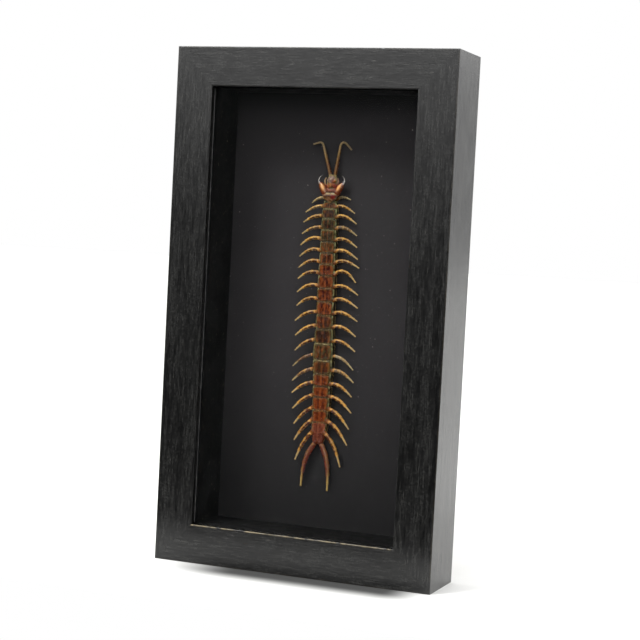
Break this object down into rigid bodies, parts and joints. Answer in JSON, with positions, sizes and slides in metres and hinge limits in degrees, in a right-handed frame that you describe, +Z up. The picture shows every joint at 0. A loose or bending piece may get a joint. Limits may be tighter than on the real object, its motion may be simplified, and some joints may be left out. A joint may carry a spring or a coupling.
{
  "type": "mounted giant centipede",
  "caption": "Dried giant centipede, belly outwards with its legs spread, on a dark card in a glazed black wooden shadow-box frame that stands upright",
  "frame": {"origin": "on the standing surface, under the middle of the frame's width and depth", "axes": "+X to the viewer's right along the width, +Y to the back, away from the glass, +Z up along the frame's height"},
  "size_m": [0.17, 0.041, 0.3],
  "materials": {
    "wood": "black stained, fine grained, semi-matt",
    "glass": "clear, thin",
    "liner": "black, satin",
    "card": "dark grey mounting card, matt",
    "board": "brown pressed fibreboard, matt",
    "plates": "dried chitin plates, satin",
    "tail": "dried chitin, red-brown, satin",
    "legs": "dried chitin, ochre, satin",
    "last_legs": "dried chitin, red-brown, satin",
    "head": "dried chitin, pinkish brown, satin",
    "fangs": "hard chitin, orange-brown, glossy",
    "antennae": "dried chitin, olive-brown, satin"
  },
  "bodies": {
    "root": {"rail_left": "wood", "rail_top": "wood", "rail_right": "wood", "rail_bottom": "wood", "glass": "glass", "liner": "liner", "backing_card": "card", "back_board": "board", "trunk_front": "plates", "trunk_middle": "plates", "trunk_rear": "plates", "tail_segment": "tail", "forcipular_plate": "head", "head": "head", "forcipule_left": "fangs", "forcipule_right": "fangs", "antenna_left": "antennae", "antenna_right": "antennae", "leg_left_01": "legs", "leg_left_02": "legs", "leg_left_03": "legs", "leg_left_04": "legs", "leg_left_05": "legs", "leg_left_06": "legs", "leg_left_07": "legs", "leg_left_08": "legs", "leg_left_09": "legs", "leg_left_10": "legs", "leg_left_11": "legs", "leg_left_12": "legs", "leg_left_13": "legs", "leg_left_14": "legs", "leg_left_15": "legs", "leg_left_16": "legs", "leg_left_17": "legs", "leg_left_18": "legs", "leg_left_19": "legs", "leg_left_20": "last_legs", "leg_left_21": "last_legs", "leg_right_01": "legs", "leg_right_02": "legs", "leg_right_03": "legs", "leg_right_04": "legs", "leg_right_05": "legs", "leg_right_06": "legs", "leg_right_07": "legs", "leg_right_08": "legs", "leg_right_09": "legs", "leg_right_10": "legs", "leg_right_11": "legs", "leg_right_12": "legs", "leg_right_13": "legs", "leg_right_14": "legs", "leg_right_15": "legs", "leg_right_16": "legs", "leg_right_17": "legs", "leg_right_18": "legs", "leg_right_19": "legs", "leg_right_20": "last_legs", "leg_right_21": "last_legs"}
  },
  "joints": []
}
